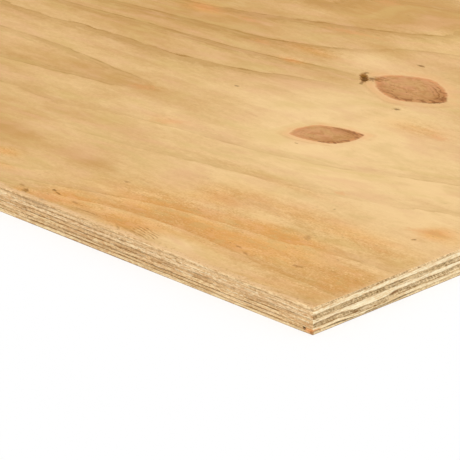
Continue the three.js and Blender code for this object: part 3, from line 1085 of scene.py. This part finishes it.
# %% Colours of the broad sides
CREAM, TAN, STRAW = colour(245, 208, 151), colour(203, 156, 93), colour(254, 229, 172)
ORANGE, FLAME, LATE_WOOD = colour(238, 172, 92), colour(207, 142, 72), colour(170, 124, 56)
BLUSH, OLIVE, RESIN = colour(228, 180, 135), colour(209, 176, 111), colour(150, 100, 54)
PINKISH, GREENISH = colour(230, 178, 134), colour(218, 186, 116)
KNOT_BROWN, KNOT_PINK = colour(213, 164, 106), colour(218, 158, 109)
KNOT_DARK, KNOT_RIM, KNOT_EDGE = colour(180, 122, 64), colour(134, 82, 40), colour(230, 156, 102)
HALO, HALO_LINE = colour(237, 180, 124), colour(248, 207, 155)
BARK, BARK_PALE, DIRT_AND_SHADE_BROWN = colour(96, 58, 10), colour(158, 108, 38), colour(158, 106, 50)
FUZZ, ROSE = colour(235, 194, 146), colour(232, 158, 102)
print("the ground goes from", TAN[:3], "to", CREAM[:3])


# %% Soft patterns of a broad side
def soft_patterns(shader, place, flow):
    """The patterns that several glazes share. flow is the place with its fibres bent."""
    soft = SimpleNamespace()
    soft.fibres = flow.patches((60, 1.3, 60), 1.0, 3.0).rise(0.3, 0.7)
    soft.hairs = flow.patches((16, 0.8, 16), 2.0, 1.0).rise(0.32, 0.68)
    soft.clouds = place.patches((90, 30, 50), 4.0, 3.0).rise(0.3, 0.7)
    soft.smudges = flow.patches((20, 6, 20), 6.0, 4.0).rise(0.34, 0.66)
    soft.grains = flow.patches((3.4, 1.8, 4), 19.0, 3.0).rise(0.36, 0.64)
    soft.dust = place.patches((1.6, 1.2, 2), 29.0, 1.0) - 0.5
    soft.warm, soft.figure = read(shader, "warm"), read(shader, "figure").rise(0.0, 1.2)
    soft.lively = 0.3 + 1.2 * soft.warm.rise(0.0, 0.8)
    soft.hot = soft.warm.rise(0.25, 0.9)
    return soft


# %% [markdown]
# The mesh holds the ring count of every point, so the part after the point of that number says how
# far the wood is from its growth line: 0 just past it and 1 just before it. Late wood darkens
# slowly up to the line. Strands of it run beside the line, so the patterns for them are laid out
# by the ring count itself, as if the rings were straightened first.

# %% Growth lines
# The width, in metres, that one growth ring usually takes on the broad sides.
WIDTH_OF_RING = 0.036


def growth_lines(shader, place, flow, soft):
    """The late wood, the line that ends it, and patterns that follow both."""
    ripple = flow.patches((60, 12, 30), 5.0, 3.0) - 0.5
    jogs = flow.patches((26, 30, 30), 31.0, 1.0) - 0.5
    ring = read(shader, "ring") + ripple * (0.1 + 0.08 * soft.hot) + jogs * 0.06
    ring = ring + (soft.smudges - 0.5) * 0.03
    phase = ring.maths("FRACT")
    straightened = shader.at(place.parts()[0], ring * WIDTH_OF_RING)
    lines = SimpleNamespace()
    lines.strands = straightened.patches((80, 3.2, 60), 27.0, 2.0).rise(0.34, 0.66)
    lines.strokes = straightened.patches((30, 12, 60), 30.0, 2.0).rise(0.4, 0.62)
    lines.tints = straightened.patches((60, 14, 60), 37.0, 2.0)
    spacing = read(shader, "spacing")
    before_line, lines.past = (1 - phase) * spacing, phase * spacing
    frayed = before_line + (soft.smudges - 0.5) * 7.0 + (soft.grains - 0.5) * 2.0
    lines.late = frayed.rise(20.0, 4.0) * 0.55 + frayed.rise(11.0, 6.0) * 0.45
    lines.sharp = before_line.rise(3.0, 0.8) + lines.past.rise(1.2, 0.0) * 0.6
    return lines


# %% The glazes
def glazed_wood(shader, place, flow, soft, lines, reach):
    """The colour of clear wood, and its fine lines of resin."""
    clouds, smudges, warm, hot, lively = soft.clouds, soft.smudges, soft.warm, soft.hot, soft.lively
    pale = read(shader, "pale") + (clouds - 0.5) * 0.3 + (smudges - 0.5) * 0.27 * lively
    pale = pale + ((soft.grains - 0.5) * 0.3 + soft.dust * (0.6 + 1.5 * hot)) * lively
    wood = shader.blend((pale + (soft.fibres - 0.5) * 0.03).rise(-0.15, 1.15), TAN, CREAM)
    # broad casts of pink and green
    casts = place.patches((42, 20, 30), 23.0, 3.0)
    wood = wood.sway(casts, (BLUSH, 0.52, 0.7, 0.34), (OLIVE, 0.46, 0.3, 0.3))
    cool = (1 - hot * 0.7) * 0.4
    wood = wood.sway(lines.tints, (PINKISH, 0.5, 0.72, cool), (GREENISH, 0.5, 0.28, cool))
    wood = wood.towards(ORANGE, (warm * (0.6 + 0.8 * clouds)).rise(0.0, 1.25) * 0.7)
    # late wood, its line, and flames
    late = lines.late * (0.44 + 0.3 * hot) * (0.4 + 0.35 * smudges + 0.45 * lines.strands)
    line_tone = (late + lines.sharp * lines.strokes * 0.42) * soft.figure
    wood = wood.towards(shader.blend(hot, LATE_WOOD, FLAME), line_tone)
    flames = flow.patches((60, 9, 30), 22.0, 4.0).rise(0.44, 0.7) * warm.rise(0.15, 0.8)
    wood = wood.towards(FLAME, flames * 0.4)
    # fine hairs, and pale early wood where the next ring starts
    wood = wood.towards(LATE_WOOD, soft.hairs * reach.rise(1.0, 2.2) * 0.03)
    wood = wood.sway(flow.patches((30, 6, 20), 12.0, 3.0), (STRAW, 0.54, 0.76, (1 - hot) * 0.12))
    wood = wood.towards(STRAW, lines.past.rise(8.0, 0.6) * hot * soft.figure * 0.3)
    blotches = place.patches((18, 9, 14), 28.0, 2.0)
    wood = wood.sway(blotches, (OLIVE, 0.52, 0.66, hot * 0.35), (HALO, 0.46, 0.34, hot * 0.4))
    resin = flow.patches((6, 1.6, 10), 13.0, 1.0).rise(0.68, 0.8)
    return wood.towards(RESIN, resin * lively * 0.35), resin


# %% [markdown]
# ## Knots in the face
#
# A knot is a branch seen almost end on. It is browner than the wood round it, with rings and small
# checks of its own, and a dark rim where its bark was. Round it the wood is a little warmer: a
# halo.
#
# One set of patterns serves every knot. Each place is seen from the knot nearest to it, turned and
# scaled so that the outline lies at a distance of 1. Dot products do that with few nodes, which
# keeps the material light enough to render.

# %% See a place from a knot
FAR_FROM_KNOTS = 1000.0
KNOT_NEIGHBOURHOOD = 2.6


def seen_from(place, middle, half_length, half_width, heading, skew=0.0):
    """A place as seen from a spot that is half_length by half_width mm, which has a radius of 1."""
    turn = math.radians(heading)
    across = Vector((-math.sin(turn), math.cos(turn), 0)) / (half_width * MM)
    along = Vector((math.cos(turn), math.sin(turn), 0)) / (half_length * MM) + skew * across
    x, y = (place.vector_maths("DOT_PRODUCT", way, output="Value") - way.dot(middle)
            for way in (along, across))
    return place.at(x, y)


def knot_space(place, knots):
    """Places as seen from the nearest knot: its outline is at a distance of 1."""
    far = {0: place, "Scale": FAR_FROM_KNOTS}
    nearest = place.node("ShaderNodeVectorMath", {"operation": "SCALE"}, far)
    for from_end, from_side, *shape in knots:
        seen = seen_from(place, on_sheet(from_end, from_side), *shape)
        close = seen.length().maths("LESS_THAN", KNOT_NEIGHBOURHOOD)
        inputs = {0: close, 4: nearest, 5: seen}
        nearest = nearest.node("ShaderNodeMix", {"data_type": "VECTOR"}, inputs, 1)
    return nearest


def knot_outline(place, seen):
    """The distance from the nearest knot, smooth and ragged, and the two parts of it."""
    along, across, _ = seen.parts()
    lozenge = (along.maths("ABSOLUTE") + across.maths("ABSOLUTE")) * LOZENGE
    wobble = place.patches((17, 13, 15), 3.0, 1.0) - 0.5
    ragged = place.patches((3, 2.4, 3), 11.0, 1.0) - 0.5
    smooth = seen.length() * (1 - LOZENGE) + lozenge + wobble * 0.16
    return smooth, smooth + ragged * 0.08, along, across


# %% The wood of a branch
def knot_wood(shader, place, smooth, along, across):
    """The wood of a branch: browner, with its own growth rings and small checks."""
    wide = place.patches((14, 9, 16), 7.0).rise(0.35, 0.65)
    mottle = place.patches((6, 4, 5), 8.0, 3.0).rise(0.42, 0.68)
    wood = shader.blend(wide, KNOT_BROWN, KNOT_PINK).towards(KNOT_DARK, mottle * 0.5)
    rings = (smooth * 7.5 + (wide - 0.5) * 0.5).maths("FRACT")
    arcs = rings.rise(0.3, 0.75) * rings.rise(1.0, 0.85)
    at_one_end = (along + across * 0.6).rise(0.5, 0.8) * smooth.rise(0.45, 0.6)
    breaks = place.patches((6, 3, 5), 24.0, 1.0).rise(0.36, 0.56)
    wood = wood.towards(KNOT_RIM, arcs * (0.1 + 0.85 * at_one_end * breaks))
    shade = (across.rise(-0.1, -0.9) * 0.5).maths("MAXIMUM", along.rise(0.0, 0.8) * 0.5)
    wood = wood.towards(KNOT_DARK, shade)
    checks = place.patches((3, 1.8, 3), 18.0, 2.0).rise(0.62, 0.7) * across.rise(0.4, -0.4)
    return wood.towards(KNOT_RIM, checks * 0.75), checks


# %% A knot in its halo, with a cracked rim
def with_knots(shader, place, wood, outline):
    """Clear wood with the knots set in it, and the relief of their rims and checks."""
    smooth, reach, along, across = outline
    halo_patches = place.patches((24, 16, 20), 14.0).rise(0.36, 0.62)
    wood = wood.towards(HALO, reach.rise(1.55, 1.0) * (0.1 + 0.55 * halo_patches))
    wood = wood.towards(HALO_LINE, reach.rise(1.14, 1.04) * halo_patches * 0.35)
    ring_line = reach.rise(1.24, 1.3) * reach.rise(1.42, 1.32) * across.rise(0.4, -0.5)
    wood = wood.towards(LATE_WOOD, ring_line * halo_patches * 0.17)
    inside, checks = knot_wood(shader, place, smooth, along, across)
    wood = wood.towards(inside, reach.rise(1.06, 0.94))
    rim = reach.rise(0.82, 0.96) * reach.rise(1.08, 0.98)
    rim_patches = place.patches((12, 9, 9), 9.0).rise(0.4, 0.58)
    wood = wood.towards(KNOT_EDGE, rim * (0.1 + 0.45 * rim_patches))
    cracks = place.patches((7, 2.6, 5), 32.0, 1.0).rise(0.48, 0.6)
    cracks = cracks * (along - across).rise(-0.5, 0.6)
    wood = wood.towards(KNOT_RIM, reach.rise(0.6, 0.9) * reach.rise(1.04, 0.98) * cracks * 0.7)
    return wood, rim * rim_patches + checks * 0.6


# %% [markdown]
# ## Small flaws
#
# Specks of bark, scuffs and smears of resin lie here and there on the face, most of them drawn out
# along the grain. Each is a spot with a ragged outline. The strongest spot wins where two overlap,
# so a whole list of them becomes one mask for one colour.

# %% Specks, scuffs and smears of resin
# Each has its distances from the end edge and the side edge, half length, half width, and heading.
SPECKS = [
    (204, 295, 3.2, 2.6, 10), (254, 376, 3.8, 2.0, -25), (31, 123, 1.5, 1.5, 0),
    (254, 20.5, 2.4, 1.6, -10), (248, 18.5, 4.5, 0.9, -20), (247, 3, 2.8, 1.6, -25),
    (317, 250, 2.0, 1.4, 0), (258, 330.5, 8.0, 5.6, 45), (259, 318, 3.0, 1.6, -45),
    (267, 7, 4.8, 2.4, -45), (272, 336, 3.0, 2.4, 30), (194.2, 322.8, 6.0, 1.6, 45),
    (102, 126, 1.0, 1.0, 0), (205, 196, 2.0, 1.0, 0),
]
SCUFFS = [
    (101, 37, 5.0, 1.2, -14), (89, 32, 5.0, 1.1, -22), (52, 40, 4.0, 2.2, 20),
    (228, 15, 5.0, 1.4, -10), (210, 10, 12.0, 0.9, 3), (276, 12, 3.0, 1.6, -20),
    (80, 78, 4.5, 2.0, -40), (232, 64.5, 3.6, 1.6, -10), (177, 5.5, 5.0, 0.9, -30),
]
BLUSHES = [
    (297, 164, 14, 4.5, 34), (119, 149, 5, 3.4, 10), (35, 138, 16, 5, 20), (145, 273, 9, 5, 0),
    (374, 470, 14, 8, 0), (363, 201, 12, 6, 10), (419, 364, 10, 4, 0), (375, 334, 10, 4, 0),
    (464, 362, 18, 8, 0), (246, 10, 16, 7, 0), (330, 319, 10, 4, 0), (343, 397, 30, 4, 10),
]


def bark_tone(shader, place):
    return shader.blend(place.patches((4, 3, 4), 17.0, 3.0).rise(0.35, 0.65), BARK, BARK_PALE)


def with_flaws(shader, place, wood, specks):
    """Wood with its smears, scuffs and specks."""
    ragged = place.patches((3.4, 2.4, 3), 11.0, 3.0) - 0.5
    bark = bark_tone(shader, place)
    for flaws, tone, strength in ((BLUSHES, ROSE, 0.3), (SCUFFS, DIRT_AND_SHADE_BROWN, 0.5), (specks, bark, 0.7)):
        flaw = ragged.rise(2.0, 3.0)
        for from_end, from_side, *shape in flaws:
            seen = seen_from(place, on_sheet(from_end, from_side), *shape)
            spot = seen.length() + ragged * 3.0
            flaw = flaw.maths("MAXIMUM", spot.rise(1.3, 0.2))
        wood = wood.towards(tone, flaw * strength)
    return wood


print(len(SPECKS), "specks,", len(SCUFFS), "scuffs,", len(BLUSHES), "smears of resin")

# %% Broad wood
FIBRE_PUSH = 0.008


def broad_wood(shader, place, knots, specks):
    """The colour and relief of a sanded broad side."""
    outline = knot_outline(place, knot_space(place, knots))
    _, reach, _, across = outline
    push = across * reach.rise(KNOT_NEIGHBOURHOOD, 0.9) * FIBRE_PUSH
    flow = place.vector_maths("ADD", shader.at(0.0, push))
    soft = soft_patterns(shader, place, flow)
    lines = growth_lines(shader, place, flow, soft)
    wood, resin = glazed_wood(shader, place, flow, soft, lines, reach)
    wood, knot_low = with_knots(shader, place, wood, outline)
    wood = with_flaws(shader, place, wood, specks)
    flecks = (soft.grains + soft.dust) * soft.hot * 2.0
    return wood, soft.hairs * 0.1 + flecks + lines.late * 0.3 - resin * 0.5 - knot_low


# %% [markdown]
# ## Where a broad side meets its edge
#
# The two outer veneers show both kinds of wood, broad and sawn, and on the face the arris between
# them is worn. Where the mesh falls away near the border, the sawn wood takes over. Anywhere else
# a place that lies low is a groove or the bark pocket, and one that stands proud is a lifted
# fibre. So the depth of the mesh itself tells the material where to paint shade into the low
# places, where to make lifted fibres paler, and where bark lies deep in the pocket.

# %% Broad wood with its sawn edge
BORDER = (4.0, 3.6)


def sheet_side(ply, knots, specks):
    """A veneer whose broad side is seen, with its sawn edge round it."""
    def look(shader, place):
        broad, relief = broad_wood(shader, place, knots, specks)
        sawn, torn = edge_wood(shader, place, ply)
        z, inward, short_edge = sheet_edges(place)
        below = ((THICKNESS - z) if ply == "face_veneer" else z) / MM
        border = inward.rise(*BORDER)
        # painted shade: places that lie low, such as torn grooves and the bark pocket's walls, are
        # darkened
        broad = broad.towards(DIRT_AND_SHADE_BROWN, below.rise(0.06, 0.34) * (1 - border) * 0.8)
        broad = broad.towards(STRAW, (below * -1.0).rise(0.02, 0.1) * (1 - border) * 0.6)
        broad = broad.towards(bark_tone(shader, place), below.rise(0.5, 0.75) * (1 - border))
        # beside the long edges the saw has lifted a fuzz of fibres
        fuzz = place.patches((14, 3.5, 9), 16.0, 3.0)
        fuzzy = (inward + (fuzz - 0.5) * 14.0).rise(6.0, 1.0) * (0.75 - 0.45 * short_edge)
        broad = broad.towards(FUZZ, fuzzy)
        speckle = place.patches((2.4, 1.6, 3), 25.0, 1.0).rise(0.55, 0.7)
        broad = broad.towards(DIRT_AND_SHADE_BROWN, speckle * inward.rise(11.0, 2.0) * (0.4 - 0.2 * short_edge))
        worn = below.rise(0.05, 0.3) if ply == "face_veneer" else below.rise(0.01, 0.06)
        edge = worn * border
        return broad.towards(sawn, edge), relief * (1 - edge) + torn * edge
    return look


# %% Finish a material
BUMP_STRENGTH, BUMP_HEIGHT = 0.5, 0.15 * MM
BARE_WOOD = {"Roughness": 0.62, "Specular IOR Level": 0.05}


def finish_material(ply, look):
    """Builds a piece's material: look is a function of the shader and the place."""
    material = bpy.data.materials.new(ply + "_wood")
    material.use_nodes = True
    tree = material.node_tree
    surface = tree.nodes["Principled BSDF"]
    shader = Wire(tree)
    place = shader.node("ShaderNodeTexCoord", {}, {}, "Object")
    wood, relief = look(shader, place)
    bump_inputs = {"Height": relief, "Strength": BUMP_STRENGTH, "Distance": BUMP_HEIGHT}
    bump = shader.node("ShaderNodeBump", {}, bump_inputs)
    tree.links.new(wood.socket, surface.inputs["Base Color"])
    tree.links.new(bump.socket, surface.inputs["Normal"])
    for name, value in BARE_WOOD.items():
        surface.inputs[name].default_value = value
    pieces[ply].data.materials.append(material)
    print(f"{material.name}: {len(tree.nodes)} nodes")


# %% Materials
for ply in PLIES[1:-1]:
    finish_material(ply, lambda shader, place: edge_wood(shader, place, ply))
finish_material("face_veneer", sheet_side("face_veneer", FACE_KNOTS, SPECKS))
finish_material("back_veneer", sheet_side("back_veneer", BACK_KNOTS, []))

# %% [markdown]
# ## The floor
#
# The sheet lies on a plain pale floor. Its underside is as much a part of the board as its face,
# so the floor can be looked through from beneath: a ray that meets its lower side goes on. It
# would still keep the light from the wood that rests on it, so it is cut away under the sheet,
# just inside the outline, where nobody looking from above can see it.

# %% A floor with an opening
FLOOR_REACH = 60
UNDER_EDGE = 3 * MM   # how far the floor reaches in under the sheet
bm = bmesh.new()
bmesh.ops.create_grid(bm, x_segments=1, y_segments=1, size=FLOOR_REACH)
for half_size, way in ((LENGTH / 2, Vector((1, 0, 0))), (WIDTH / 2, Vector((0, 1, 0)))):
    for side in (way, -way):
        everything = [*bm.verts, *bm.edges, *bm.faces]
        opening = side * (half_size - UNDER_EDGE)
        bmesh.ops.bisect_plane(bm, geom=everything, plane_co=opening, plane_no=side)
covered = [face for face in bm.faces if face.calc_center_median().length < 1 * MM]
bmesh.ops.delete(bm, geom=covered, context="FACES")
print("floor", len(bm.faces), "faces round the sheet,", len(covered), "taken out under it")
floor_mesh = bpy.data.meshes.new("floor")
bm.to_mesh(floor_mesh)
bm.free()
floor = bpy.data.objects.new("floor", floor_mesh)
bpy.context.scene.collection.objects.link(floor)

# %% [markdown]
# A floor that looks white has to be pale where the camera sees it, yet it must not throw more
# light on the sheet than a plain studio floor does. So it glows only for rays that look at the
# background, and it stays matt for the light that it sends on. Under the glow it still takes the
# sheet's shadow.

# %% Floor paint
WHITE, PALE_GREY = (1.0, 1.0, 1.0, 1.0), (0.8, 0.8, 0.8, 1.0)
GLOW_SHARE = 0.6


def looked_at(shader):
    """1 for a ray that shows the background: from the camera, or by way of gloss or glass."""
    camera_ray, glossy_ray, glass_ray = (
        shader.node("ShaderNodeLightPath", {}, {}, f"Is {kind} Ray")
        for kind in ("Camera", "Glossy", "Transmission")
    )
    return camera_ray.maths("MAXIMUM", glossy_ray).maths("MAXIMUM", glass_ray)


paint = bpy.data.materials.new("floor_paint")
paint.use_nodes = True
tree = paint.node_tree
tree.nodes.clear()
shader = Wire(tree)
seen = looked_at(shader)
shade = shader.blend(seen, PALE_GREY, WHITE)
matt = shader.node("ShaderNodeBsdfDiffuse", {}, {"Color": shade}, "BSDF")
glow = shader.node("ShaderNodeEmission", {}, {"Color": WHITE, "Strength": 1.0}, "Emission")
above = shader.node("ShaderNodeMixShader", {}, {0: seen * GLOW_SHARE, 1: matt, 2: glow}, "Shader")
clear = shader.node("ShaderNodeBsdfTransparent", {}, {"Color": WHITE}, "BSDF")
beneath = shader.node("ShaderNodeNewGeometry", {}, {}, "Backfacing")
both = shader.node("ShaderNodeMixShader", {}, {0: beneath, 1: above, 2: clear}, "Shader")
output = tree.nodes.new("ShaderNodeOutputMaterial")
tree.links.new(both.socket, output.inputs["Surface"])
floor_mesh.materials.append(paint)
print("floor paint:", len(tree.nodes), "nodes")

# %% [markdown]
# ## Light and background
#
# One broad lamp hangs high behind the camera, soft enough that shadows have no hard edge. The
# world gives even light from all sides, and looks white to the camera and in anything glossy.

# %% Lamp and world
KEY_STRENGTH, KEY_SPREAD = 1.8, math.radians(35)
KEY_FROM = Vector((0.56, -0.44, 0.70))
WORLD_LIGHT = 0.6
key = bpy.data.objects.new("key", bpy.data.lights.new("key", "SUN"))
key.data.energy, key.data.angle = KEY_STRENGTH, KEY_SPREAD
key.matrix_world = KEY_FROM.to_track_quat("Z", "Y").to_matrix().to_4x4()
bpy.context.scene.collection.objects.link(key)
world = bpy.data.worlds.new("studio")
world.use_nodes = True
tree = world.node_tree
shader = Wire(tree)
strength = WORLD_LIGHT + (1 - WORLD_LIGHT) * looked_at(shader)
tree.links.new(strength.socket, tree.nodes["Background"].inputs["Strength"])
tree.nodes["Background"].inputs["Color"].default_value = WHITE
bpy.context.scene.world = world
bpy.context.scene.view_settings.view_transform = "Standard"
print(f"lamp {KEY_STRENGTH}, world {WORLD_LIGHT} as light and 1 as background")
